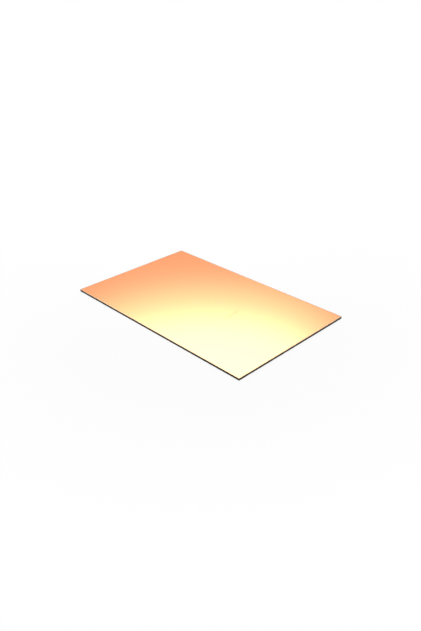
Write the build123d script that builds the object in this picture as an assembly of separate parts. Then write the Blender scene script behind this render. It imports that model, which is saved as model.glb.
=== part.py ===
from build123d import *
import os

# A blank of copper clad board, lying flat: a pressed laminate core with copper foil bonded over
# its whole top face. Millimetres. The origin is the middle of the underside. +X runs along the
# board's length, +Y across its width and +Z up through the copper.

# The cut panel.
board_length = 160.0
board_width = 100.0
board_thickness = 1.6  # core and foil together

# One ounce of copper to the square foot rolls out to this thickness.
foil_thickness = 0.035

# The panel is sheared square. Its four corners and its lower edge are only deburred.
corner_radius = 0.3
lower_edge_break = 0.12

# What the values above give.
core_thickness = board_thickness - foil_thickness


def panel(thickness, base_height):
    """The board's outline as a sheet of one thickness, standing on base_height."""
    with BuildPart() as sheet:
        with BuildSketch(Plane.XY.offset(base_height)):
            RectangleRounded(board_length, board_width, corner_radius)
        extrude(amount=thickness)
    return sheet.part


def laminate_core():
    """The pressed sheet, with the edge round its underside broken so that it doesn't scratch."""
    core = panel(core_thickness, 0)
    underside = core.faces().sort_by(Axis.Z).first
    return chamfer(underside.outer_wire().edges(), lower_edge_break)


def copper_foil():
    """The foil, cut together with the core and so to the same outline, bonded on top of it."""
    return panel(foil_thickness, core_thickness)


pieces = {
    "laminate_core": laminate_core(),
    "copper_foil": copper_foil(),
}

os.makedirs("parts", exist_ok=True)
for node, piece in pieces.items():
    export_step(piece, f"parts/{node}.step")
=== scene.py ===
import math

import bmesh
import bpy
from mathutils import Euler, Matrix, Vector


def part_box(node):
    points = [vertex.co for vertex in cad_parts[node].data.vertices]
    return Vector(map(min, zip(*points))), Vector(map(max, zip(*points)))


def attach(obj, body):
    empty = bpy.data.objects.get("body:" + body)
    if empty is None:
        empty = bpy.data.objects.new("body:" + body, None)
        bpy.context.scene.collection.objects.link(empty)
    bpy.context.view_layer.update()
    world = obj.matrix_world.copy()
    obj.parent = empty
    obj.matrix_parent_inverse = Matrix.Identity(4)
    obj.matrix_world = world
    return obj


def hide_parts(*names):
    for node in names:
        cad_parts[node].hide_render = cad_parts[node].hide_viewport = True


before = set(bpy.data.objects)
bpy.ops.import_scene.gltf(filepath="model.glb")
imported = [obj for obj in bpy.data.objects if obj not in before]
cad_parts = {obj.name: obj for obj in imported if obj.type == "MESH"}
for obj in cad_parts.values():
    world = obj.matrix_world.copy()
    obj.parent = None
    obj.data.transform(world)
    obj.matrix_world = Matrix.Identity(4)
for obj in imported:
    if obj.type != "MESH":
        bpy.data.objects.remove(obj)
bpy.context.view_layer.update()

# A blank of copper clad board: a dark pressed laminate core with copper foil over its top face.
# Both were sheared to size together, so the foil is rolled over its rim, and the core's edge has
# a smooth band where the blade cut and a rough one below it, where the plies broke away.
# Metres throughout. +X runs along the board, +Y across it and +Z up out of the copper.

MM = 0.001
TOUCH = 0.001 * MM  # closer than this is the same place
core_low, core_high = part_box("laminate_core")
foil_low, foil_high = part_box("copper_foil")
half_length = core_high.x
half_width = core_high.y

# The sheared outline.
corner_radius = 0.3 * MM
corner_steps = 4
long_side_cuts = (99, 2)  # each side is divided in two rounds, to about half a millimetre
short_side_cuts = (99, 1)

# A flat border inside the rim, so that the faces themselves stay truly flat.
flat_border = 0.9 * MM

# The sheared edge of the core, from the bottom up.
edge_break = 0.12 * MM
ply_thickness = 0.19 * MM
ply_flat = (0.35, 0.65)  # a ply's broken edge stands flat between these shares of its thickness
broken_plies = 5
broken_inset = 0.025 * MM
resin_line_inset = 0.05 * MM
land_rise = 0.08 * MM  # the step from the broken zone out to the cut one
land_foot = edge_break + broken_plies * ply_thickness + land_rise

# The rim of the foil, as (share of the foil's thickness, inset) from the bottom up.
rolled_rim = (
    (0.25, 0.0),
    (0.5, 0.004 * MM),
    (0.75, 0.015 * MM),
    (0.92, 0.035 * MM),
    (1.0, 0.07 * MM),
)

# How deep each roughness goes, and how broad its lumps are.
broken_depth = 0.05 * MM
broken_grain = 1.6 * MM
chip_depth = 0.1 * MM
chip_grain = 2.5 * MM
ripple_depth = 0.012 * MM
ripple_grain = 3.0 * MM

# Edges sharper than this stay sharp, and faces this level or more are the board's flat faces.
smooth_angle = math.radians(35)
level_share = 0.9

# Two rubbed marks on the copper: the ends of each on the face, and its width.
long_mark = ((26.5 * MM, -6.0 * MM), (25.2 * MM, 6.3 * MM), 2.2 * MM)
short_mark = ((32.2 * MM, 0.0), (31.1 * MM, 5.1 * MM), 1.6 * MM)


# ---------------------------------------------------------------- shaping

def clear_selection():
    if bpy.context.object and bpy.context.object.mode != "OBJECT":
        bpy.ops.object.mode_set(mode="OBJECT")
    bpy.ops.object.select_all(action="DESELECT")


def select_side_edges(piece, axis, reach):
    """Selects, in edit mode, the edges along the two sides that lie at reach along an axis."""
    bpy.ops.mesh.select_mode(type="EDGE")
    bpy.ops.mesh.select_all(action="DESELECT")
    mesh = bmesh.from_edit_mesh(piece.data)
    for edge in mesh.edges:
        first, second = edge.verts[0].co[axis], edge.verts[1].co[axis]
        if first * second > 0 and min(abs(first), abs(second)) > reach - TOUCH:
            edge.select_set(True)
    bmesh.update_edit_mesh(piece.data)


def sheared_outline(name, height):
    """A flat sheet with the board's outline at one height, left in edit mode and selected."""
    clear_selection()
    bpy.ops.mesh.primitive_plane_add(size=1, location=(0, 0, height))
    piece = bpy.context.object
    piece.name = name
    piece.data.name = name
    piece.scale = (2 * half_length, 2 * half_width, 1)
    bpy.ops.object.transform_apply(location=True, rotation=True, scale=True)
    bpy.ops.object.mode_set(mode="EDIT")
    bpy.ops.mesh.select_all(action="SELECT")
    bpy.ops.mesh.bevel(offset=corner_radius, segments=corner_steps, affect="VERTICES")
    for axis, reach, rounds in ((1, half_width, long_side_cuts), (0, half_length, short_side_cuts)):
        for cuts in rounds:
            select_side_edges(piece, axis, reach)
            bpy.ops.mesh.subdivide(number_cuts=cuts)
    bpy.ops.mesh.select_mode(type="FACE")
    bpy.ops.mesh.select_all(action="SELECT")
    return piece


def draw_in(inset, old_inset=0.0):
    """Draws the selected outline in, or lets it out, to a new inset from the full outline."""
    length_ratio = (half_length - inset) / (half_length - old_inset)
    width_ratio = (half_width - inset) / (half_width - old_inset)
    bpy.ops.transform.resize(value=(length_ratio, width_ratio, 1), center_override=(0, 0, 0))


def raise_rows(rows, height, inset):
    """Extrudes the selected sheet up through rows of (height, inset from the outline)."""
    for next_height, next_inset in rows:
        bpy.ops.mesh.extrude_region_move(
            TRANSFORM_OT_translate={"value": (0, 0, next_height - height)}
        )
        draw_in(next_inset, inset)
        height, inset = next_height, next_inset


def core_rows():
    """The section of the core's sheared edge, as (height, inset), above its broken lower corner."""
    rows = [(edge_break, broken_inset)]
    for ply in range(broken_plies):
        base = edge_break + ply * ply_thickness
        rows.append((base + ply_flat[0] * ply_thickness, broken_inset))
        rows.append((base + ply_flat[1] * ply_thickness, broken_inset))
        rows.append((base + ply_thickness, resin_line_inset))
    rows.append((land_foot, 0.0))
    rows.append(((land_foot + core_high.z) / 2, 0.0))
    rows.append((core_high.z, 0.0))
    return rows


def group_rows(piece, name, low, high, beyond=flat_border):
    """A vertex group of the vertices from low to high, no farther in than beyond."""
    rows = []
    for vertex in piece.data.vertices:
        inwards = min(half_length - abs(vertex.co.x), half_width - abs(vertex.co.y))
        if low <= vertex.co.z <= high and inwards <= beyond:
            rows.append(vertex.index)
    group = piece.vertex_groups.new(name=name)
    group.add(rows, 1, "REPLACE")
    return group.name


def eat_in(piece, name, group, depth, grain, deepest=0.2, spared=0.8):
    """Roughens a group of vertices inwards, with lumps about grain across.

    Where the noise is at deepest or under, the depth is whole. At spared or over, there is none.
    """
    texture = bpy.data.textures.new(name, "CLOUDS")
    texture.noise_scale = grain
    texture.noise_depth = 2
    texture.use_color_ramp = True
    first, last = texture.color_ramp.elements
    first.position, last.position = deepest, spared
    first.color, last.color = (0, 0, 0, 1), (1, 1, 1, 1)
    modifier = piece.modifiers.new(name, "DISPLACE")
    modifier.texture = texture
    modifier.texture_coords = "LOCAL"
    modifier.direction = "NORMAL"
    modifier.mid_level = 1.0
    modifier.strength = depth
    modifier.vertex_group = group
    bpy.ops.object.modifier_apply(modifier=name)


def finish_solid(piece):
    """Merges doubled points, turns the normals out and leaves edit mode."""
    bpy.ops.mesh.select_all(action="SELECT")
    bpy.ops.mesh.remove_doubles(threshold=TOUCH / 10)
    bpy.ops.mesh.normals_make_consistent(inside=False)
    bpy.ops.object.mode_set(mode="OBJECT")


def core_sheet():
    """The laminate core, with the section of its sheared edge."""
    piece = sheared_outline("core_sheet", core_low.z)
    draw_in(flat_border)
    raise_rows([(core_low.z, edge_break)] + core_rows(), core_low.z, flat_border)
    finish_solid(piece)
    broken = group_rows(piece, "broken_zone", edge_break * 0.5, land_foot - TOUCH)
    eat_in(piece, "broken_grain", broken, broken_depth, broken_grain)
    foot = group_rows(piece, "foot", -TOUCH, edge_break * 1.1, beyond=flat_border / 2)
    eat_in(piece, "foot_chips", foot, chip_depth, chip_grain, deepest=0.3, spared=0.45)
    bpy.ops.object.shade_smooth_by_angle(angle=smooth_angle)
    return piece


def foil_sheet():
    """The bonded copper foil, with its rim rolled over by the shear."""
    thickness = foil_high.z - foil_low.z
    piece = sheared_outline("foil_sheet", foil_low.z)
    rows = [(foil_low.z + share * thickness, inset) for share, inset in rolled_rim]
    raise_rows(rows + [(foil_high.z, flat_border)], foil_low.z, 0.0)
    finish_solid(piece)
    rim = group_rows(piece, "rim", foil_low.z + 0.1 * thickness, foil_low.z + 0.95 * thickness)
    eat_in(piece, "rim_ripple", rim, ripple_depth, ripple_grain)
    bpy.ops.object.shade_smooth_by_angle(angle=smooth_angle)
    return piece


# ---------------------------------------------------------------- node helpers

def add(tree, kind, **settings):
    node = tree.nodes.new(kind)
    for name, value in settings.items():
        setattr(node, name, value)
    return node


def feed(tree, socket, value):
    """Sets an input to a number or a vector, or links an output to it."""
    if isinstance(value, bpy.types.NodeSocket):
        tree.links.new(value, socket)
    else:
        socket.default_value = value


def maths(tree, operation, *values, clamp=False):
    node = add(tree, "ShaderNodeMath", operation=operation, use_clamp=clamp)
    for socket, value in zip(node.inputs, values):
        feed(tree, socket, value)
    return node.outputs[0]


def stretch(tree, vector, by):
    node = add(tree, "ShaderNodeVectorMath", operation="MULTIPLY")
    feed(tree, node.inputs[0], vector)
    feed(tree, node.inputs[1], by)
    return node.outputs[0]


def parts_of(tree, vector):
    node = add(tree, "ShaderNodeSeparateXYZ")
    feed(tree, node.inputs[0], vector)
    return node.outputs


def noise(tree, vector, scale=1.0, detail=2.0, roughness=0.5):
    node = add(tree, "ShaderNodeTexNoise")
    for name, value in (("Vector", vector), ("Scale", scale), ("Detail", detail), ("Roughness", roughness)):
        feed(tree, node.inputs[name], value)
    return node.outputs["Fac"]


def remap(tree, value, low, high, to_low, to_high, smooth=False):
    node = add(tree, "ShaderNodeMapRange", clamp=True)
    if smooth:
        node.interpolation_type = "SMOOTHSTEP"
    for name, given in (
        ("Value", value),
        ("From Min", low),
        ("From Max", high),
        ("To Min", to_low),
        ("To Max", to_high),
    ):
        feed(tree, node.inputs[name], given)
    return node.outputs["Result"]


def blend_colours(tree, share, first, second):
    node = add(tree, "ShaderNodeMix", data_type="RGBA")
    feed(tree, node.inputs["Factor"], share)
    feed(tree, node.inputs[6], first)
    feed(tree, node.inputs[7], second)
    return node.outputs[2]


def bump(tree, height, depth, normal=None):
    node = add(tree, "ShaderNodeBump")
    node.inputs["Distance"].default_value = depth
    node.inputs["Strength"].default_value = 1.0
    feed(tree, node.inputs["Height"], height)
    if normal is not None:
        feed(tree, node.inputs["Normal"], normal)
    return node.outputs["Normal"]


def new_group(name, inputs, output):
    """An empty effect with named inputs, each with its usual value, and one output, a value."""
    group = bpy.data.node_groups.new(name, "ShaderNodeTree")
    for label, kind, usual in inputs:
        socket = group.interface.new_socket(label, in_out="INPUT", socket_type=kind)
        if usual is not None:
            socket.default_value = usual
    group.interface.new_socket(output, in_out="OUTPUT", socket_type="NodeSocketFloat")
    start = group.nodes.new("NodeGroupInput")
    end = group.nodes.new("NodeGroupOutput")
    return group, start.outputs, end.inputs


def use(tree, group, **values):
    """Places an effect in a material. Underscores in the names stand for spaces."""
    node = add(tree, "ShaderNodeGroup")
    node.node_tree = group
    for name, value in values.items():
        feed(tree, node.inputs[name.replace("_", " ")], value)
    return node.outputs[0]


# ---------------------------------------------------------------- shared effects

FLOAT = "NodeSocketFloat"
VECTOR = "NodeSocketVector"


# The rim mask carries real scraping on the pressed face and painted shade on the copper's rim.
def rim_wear_and_shade_effect():
    """1 at the outline, falling to 0 over a width that wanders along it."""
    group, given, out = new_group(
        "rim_wear_and_shade",
        (("Vector", VECTOR, None), ("Width", FLOAT, 0.5 * MM), ("Wander", FLOAT, 300.0)),
        "Mask",
    )
    x, y, _ = parts_of(group, given["Vector"])
    from_end = maths(group, "SUBTRACT", half_length, maths(group, "ABSOLUTE", x))
    from_side = maths(group, "SUBTRACT", half_width, maths(group, "ABSOLUTE", y))
    inwards = maths(group, "MINIMUM", from_end, from_side)
    wander = remap(group, noise(group, given["Vector"], given["Wander"], 3.0), 0.35, 0.7, 0.5, 1.2)
    reach = maths(group, "MULTIPLY", given["Width"], wander)
    feed(group, out["Mask"], remap(group, inwards, 0.0, reach, 1.0, 0.0, smooth=True))
    return group


def grain_effect():
    """Fine lines, stretched one way, as rolling, sawing or wiping leaves them."""
    group, given, out = new_group(
        "grain",
        (("Vector", VECTOR, None), ("Stretch", VECTOR, (50.0, 3000.0, 3000.0)), ("Detail", FLOAT, 3.0)),
        "Height",
    )
    lines = noise(group, stretch(group, given["Vector"], given["Stretch"]), 1.0, given["Detail"], 0.6)
    feed(group, out["Height"], lines)
    return group


def clouding_effect():
    """Soft uneven patches, as handling and slow tarnish leave them."""
    group, given, out = new_group(
        "clouding",
        (("Vector", VECTOR, None), ("Scale", FLOAT, 25.0), ("Low", FLOAT, 0.4), ("High", FLOAT, 0.7)),
        "Mask",
    )
    patches = noise(group, given["Vector"], given["Scale"], 4.0, 0.55)
    feed(group, out["Mask"], remap(group, patches, given["Low"], given["High"], 0.0, 1.0, smooth=True))
    return group


def cloth_effect():
    """The plain weave of the glass cloth, which prints through the pressed faces."""
    group, given, out = new_group(
        "cloth_print",
        (("Vector", VECTOR, None), ("Warp Pitch", FLOAT, 0.58 * MM), ("Weft Pitch", FLOAT, 0.79 * MM)),
        "Height",
    )
    x, y, _ = parts_of(group, given["Vector"])
    waves = []
    for across, pitch in ((x, "Warp Pitch"), (y, "Weft Pitch")):
        turns = maths(group, "DIVIDE", maths(group, "MULTIPLY", across, math.pi), given[pitch])
        waves.append(maths(group, "SINE", turns))
    woven = maths(group, "MULTIPLY", waves[0], waves[1])
    feed(group, out["Height"], maths(group, "MULTIPLY_ADD", woven, 0.5, 0.5))
    return group


rim_wear_and_shade = rim_wear_and_shade_effect()
grain = grain_effect()
clouding = clouding_effect()
cloth_print = cloth_effect()


# ---------------------------------------------------------------- materials

def new_material(name, roughness, metallic=0.0, specular=0.5):
    """A material with one Principled shader. Returns it, its tree, shader and object coordinates."""
    material = bpy.data.materials.new(name)
    material.use_nodes = True
    tree = material.node_tree
    shader = next(n for n in tree.nodes if n.type == "BSDF_PRINCIPLED")
    shader.inputs["Roughness"].default_value = roughness
    shader.inputs["Metallic"].default_value = metallic
    shader.inputs["Specular IOR Level"].default_value = specular
    place = add(tree, "ShaderNodeTexCoord").outputs["Object"]
    return material, tree, shader, place


def scuff(tree, place, mark):
    """A mask along one short rubbed line between two points of the copper face."""
    first, last, width = mark
    start = Vector((*first, foil_high.z))
    along = Vector((*last, foil_high.z)) - start
    offset = add(tree, "ShaderNodeVectorMath", operation="SUBTRACT")
    feed(tree, offset.inputs[0], place)
    feed(tree, offset.inputs[1], start)
    project = add(tree, "ShaderNodeVectorMath", operation="DOT_PRODUCT")
    feed(tree, project.inputs[0], offset.outputs[0])
    feed(tree, project.inputs[1], along / along.length_squared)
    share = maths(tree, "ADD", project.outputs["Value"], 0.0, clamp=True)
    nearest = add(tree, "ShaderNodeVectorMath", operation="SCALE")
    nearest.inputs[0].default_value = along
    feed(tree, nearest.inputs["Scale"], share)
    gap = add(tree, "ShaderNodeVectorMath", operation="DISTANCE")
    feed(tree, gap.inputs[0], offset.outputs[0])
    feed(tree, gap.inputs[1], nearest.outputs[0])
    return remap(tree, gap.outputs["Value"], 0.0, width, 1.0, 0.0, smooth=True)


def copper_material():
    """Bare rolled copper: satin, faintly lined along the board, a little clouded by handling.

    Its sheared rim is duller, and painted shade turns it dark grey to thicken the dark line along the
    board's edge; two faint rubbed marks lie off the middle, to +X.
    """
    clean = (0.9, 0.354, 0.175, 1)
    handled = (0.88, 0.339, 0.165, 1)
    rubbed = (0.5, 0.28, 0.136, 1)
    # Painted shade: this dark grey darkens the copper along every edge, thickening the dark edge line.
    rim_painted_shade = (0.27, 0.265, 0.185, 1)
    material, tree, shader, place = new_material("copper_satin", 0.18, metallic=1.0)
    shader.inputs["Specular Tint"].default_value = (1.0, 0.75, 0.6, 1)
    patches = use(tree, clouding, Vector=place, Scale=16.0, Low=0.3, High=0.75)
    rim = use(tree, rim_wear_and_shade, Vector=place, Width=1.2 * MM, Wander=260.0)
    rolled = use(tree, grain, Vector=place, Stretch=(45.0, 2600.0, 2600.0), Detail=3.0)
    wiped = use(tree, grain, Vector=place, Stretch=(300.0, 900.0, 900.0), Detail=2.0)
    long_rub = scuff(tree, place, long_mark)
    short_rub = scuff(tree, place, short_mark)
    rub = maths(tree, "MULTIPLY_ADD", short_rub, 0.5, long_rub)
    rub = maths(tree, "MULTIPLY", rub, remap(tree, wiped, 0.35, 0.6, 0.4, 1.0))
    colour = blend_colours(tree, maths(tree, "MULTIPLY", patches, 0.4), clean, handled)
    colour = blend_colours(tree, maths(tree, "MULTIPLY", rub, 0.75), colour, rubbed)
    # The rim band blends to the painted shade.
    colour = blend_colours(tree, maths(tree, "MULTIPLY", rim, 0.95), colour, rim_painted_shade)
    feed(tree, shader.inputs["Base Color"], colour)
    gloss = maths(tree, "MULTIPLY_ADD", patches, 0.01, 0.2)
    gloss = maths(tree, "MULTIPLY_ADD", rim, 0.2, gloss)
    gloss = maths(tree, "MULTIPLY_ADD", rub, 0.02, gloss)
    gloss = maths(tree, "MULTIPLY_ADD", rolled, 0.015, gloss)
    feed(tree, shader.inputs["Roughness"], gloss)
    feed(tree, shader.inputs["Normal"], bump(tree, rolled, 0.0004 * MM))
    return material


def pressed_face_material():
    """The core's bare pressed face: dark satin resin with the cloth's weave just under it."""
    between_threads = (0.04, 0.038, 0.029, 1)
    over_threads = (0.062, 0.06, 0.045, 1)
    handled = (0.072, 0.068, 0.052, 1)
    scraped = (0.18, 0.17, 0.135, 1)
    material, tree, shader, place = new_material("laminate_pressed", 0.4)
    weave = use(tree, cloth_print, Vector=place)
    patches = use(tree, clouding, Vector=place, Scale=30.0, Low=0.35, High=0.7)
    rim = use(tree, rim_wear_and_shade, Vector=place, Width=0.5 * MM, Wander=350.0)
    colour = blend_colours(tree, weave, between_threads, over_threads)
    colour = blend_colours(tree, maths(tree, "MULTIPLY", patches, 0.4), colour, handled)
    colour = blend_colours(tree, maths(tree, "MULTIPLY", rim, 0.35), colour, scraped)
    feed(tree, shader.inputs["Base Color"], colour)
    gloss = maths(tree, "MULTIPLY_ADD", patches, 0.12, 0.36)
    feed(tree, shader.inputs["Roughness"], gloss)
    feed(tree, shader.inputs["Normal"], bump(tree, weave, 0.006 * MM))
    return material


def sheared_edge_material():
    """The core's cut edge: dull and faintly ply-lined where it broke, smoother where it was cut."""
    resin_line = (0.02, 0.0203, 0.0125, 1)
    ply = (0.037, 0.037, 0.023, 1)
    cut_resin = (0.023, 0.0233, 0.0145, 1)
    loose_fibre = (0.1, 0.096, 0.07, 1)
    material, tree, shader, place = new_material("laminate_sheared", 0.6, specular=0.35)
    _, _, height = parts_of(tree, place)
    wavy = noise(tree, stretch(tree, place, (250.0, 250.0, 1200.0)), 1.0, 3.0)
    above_break = maths(tree, "SUBTRACT", height, edge_break)
    phase = maths(tree, "MULTIPLY", above_break, 2 * math.pi / ply_thickness)
    phase = maths(tree, "MULTIPLY_ADD", wavy, 1.5, phase)
    plies = maths(tree, "MULTIPLY_ADD", maths(tree, "COSINE", phase), -0.5, 0.5)
    cut = remap(tree, height, land_foot - land_rise, land_foot + land_rise, 0.0, 1.0, smooth=True)
    broken = maths(tree, "SUBTRACT", 1.0, cut)
    fibres = use(tree, grain, Vector=place, Stretch=(2500.0, 2500.0, 700.0), Detail=2.0)
    frayed = maths(tree, "MULTIPLY", remap(tree, fibres, 0.55, 0.75, 0.0, 0.4), broken)
    colour = blend_colours(tree, plies, resin_line, ply)
    colour = blend_colours(tree, maths(tree, "MULTIPLY", cut, 0.7), colour, cut_resin)
    colour = blend_colours(tree, frayed, colour, loose_fibre)
    feed(tree, shader.inputs["Base Color"], colour)
    dullness = remap(tree, fibres, 0.3, 0.7, 0.52, 0.75)
    feed(tree, shader.inputs["Roughness"], maths(tree, "MULTIPLY_ADD", cut, -0.12, dullness))
    rough_height = maths(tree, "MULTIPLY", maths(tree, "ADD", plies, fibres), broken)
    feed(tree, shader.inputs["Normal"], bump(tree, rough_height, 0.01 * MM))
    return material


def backdrop_share(tree):
    """1 for rays that see the backdrop or mirror it, and 0 for those that only carry its light."""
    rays = add(tree, "ShaderNodeLightPath").outputs
    share = maths(tree, "MAXIMUM", rays["Is Camera Ray"], rays["Is Glossy Ray"])
    return maths(tree, "MAXIMUM", share, rays["Is Transmission Ray"])


def floor_material():
    """A plain white floor. Most of its white is seen but gives no light, all of it farther out."""
    material, tree, shader, place = new_material("studio_floor", 0.9, specular=0.0)
    shader.inputs["Base Color"].default_value = (floor_white, floor_white, floor_white, 1)
    distance = add(tree, "ShaderNodeVectorMath", operation="LENGTH")
    feed(tree, distance.inputs[0], place)
    seen_share = remap(tree, distance.outputs["Value"], half_length, 2.5 * half_length, near_share, 1.0)
    white = add(tree, "ShaderNodeEmission")
    mix = add(tree, "ShaderNodeMixShader")
    feed(tree, mix.inputs[0], maths(tree, "MULTIPLY", backdrop_share(tree), seen_share))
    feed(tree, mix.inputs[1], shader.outputs[0])
    feed(tree, mix.inputs[2], white.outputs[0])
    output = next(n for n in tree.nodes if n.type == "OUTPUT_MATERIAL")
    feed(tree, output.inputs["Surface"], mix.outputs[0])
    return material


def dress(piece, face_material, side_material):
    """Gives a piece's flat faces one material and its cut edges another."""
    piece.data.materials.clear()
    piece.data.materials.append(face_material)
    piece.data.materials.append(side_material)
    for face in piece.data.polygons:
        face.material_index = 0 if abs(face.normal.z) > level_share else 1


# ---------------------------------------------------------------- studio

# The soft box hangs across the board from the camera. Azimuth 0 is towards -Y and 90 towards +X.
box_azimuth = 229.3
box_elevation = 49.2
box_distance = 275 * MM
box_size = (0.306, 0.17)
box_brightness = 2.87

# Its edge is soft: a larger and dimmer oval lies just behind it.
halo_size = (0.406, 0.252)
halo_brightness = 0.96
halo_gap = 1 * MM

# What the white surroundings lend to dull surfaces, and how much less of them gloss sees low down
# on the open side, which is the camera's.
dull_fill = 0.35
open_side = Euler((math.radians(100), 0, math.radians(46))).to_matrix() @ Vector((0, 0, 1))
open_side_dimming = 0.4

# The floor, a hair under the board so that the two don't fight for the same place.
floor_size = 6
floor_drop = 0.02 * MM
floor_white = 0.94
near_share = 0.93  # how much of the floor's white gives no light, under and beside the board

# The camera, round, up and away from the point that it's aimed at. Degrees.
camera_azimuth = 46.0
camera_elevation = 29.4
camera_roll = -0.8
camera_distance = 406.6 * MM
camera_aim = Vector((14.3 * MM, -8.4 * MM, 0))
camera_lens = 34.2


def studio_floor():
    clear_selection()
    bpy.ops.mesh.primitive_plane_add(size=floor_size, location=(0, 0, -floor_drop))
    floor = bpy.context.object
    floor.name = "studio_floor"
    floor.data.materials.append(floor_material())


def studio_world():
    """White all round to the eye. Gloss sees it dimmer low down on the studio's open side."""
    world = bpy.data.worlds.new("studio_world")
    bpy.context.scene.world = world
    world.use_nodes = True
    tree = world.node_tree
    background = next(n for n in tree.nodes if n.type == "BACKGROUND")
    background.inputs["Color"].default_value = (1, 1, 1, 1)
    facing = add(tree, "ShaderNodeVectorMath", operation="DOT_PRODUCT")
    feed(tree, facing.inputs[0], add(tree, "ShaderNodeTexCoord").outputs["Generated"])
    feed(tree, facing.inputs[1], open_side)
    dimming = remap(tree, facing.outputs["Value"], 0.55, 0.98, 0.0, open_side_dimming, smooth=True)
    glossy = add(tree, "ShaderNodeLightPath").outputs["Is Glossy Ray"]
    level = remap(tree, backdrop_share(tree), 0.0, 1.0, dull_fill, 1.0)
    level = maths(tree, "SUBTRACT", level, maths(tree, "MULTIPLY", glossy, dimming))
    feed(tree, background.inputs["Strength"], level)


def soft_box(name, size, brightness, behind=0.0):
    """An oval soft light facing the board's middle. A brightness of 1 is the world's white."""
    width, height = size
    light = bpy.data.lights.new(name, "AREA")
    light.shape = "ELLIPSE"
    light.size = width
    light.size_y = height
    light.energy = brightness * math.pi * (math.pi / 4 * width * height)
    lamp = bpy.data.objects.new(name, light)
    bpy.context.scene.collection.objects.link(lamp)
    turn = Euler((math.radians(90 - box_elevation), 0, math.radians(box_azimuth)))
    lamp.rotation_euler = turn
    lamp.location = turn.to_matrix() @ Vector((0, 0, box_distance + behind))
    lamp.visible_camera = False


def camera():
    """A camera a little above the board, looking at it from between +X and -Y."""
    data = bpy.data.cameras.new("camera")
    data.lens = camera_lens
    data.sensor_width = 36.0
    data.clip_start = 0.01
    eye = bpy.data.objects.new("camera", data)
    bpy.context.scene.collection.objects.link(eye)
    turn = Euler((math.radians(90 - camera_elevation), 0, math.radians(camera_azimuth))).to_matrix()
    turn = turn @ Euler((0, 0, math.radians(camera_roll))).to_matrix()
    eye.rotation_euler = turn.to_euler()
    eye.location = camera_aim + turn @ Vector((0, 0, camera_distance))
    bpy.context.scene.camera = eye


# ---------------------------------------------------------------- the board

core = core_sheet()
foil = foil_sheet()
copper = copper_material()
dress(core, pressed_face_material(), sheared_edge_material())
dress(foil, copper, copper)
for piece, node, slot in ((core, "laminate_core", "laminate"), (foil, "copper_foil", "copper")):
    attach(piece, "root")
    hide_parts(node)

studio_floor()
studio_world()
soft_box("soft_box", box_size, box_brightness)
soft_box("soft_box_halo", halo_size, halo_brightness, behind=halo_gap)
camera()

scene = bpy.context.scene
scene.view_settings.view_transform = "Standard"
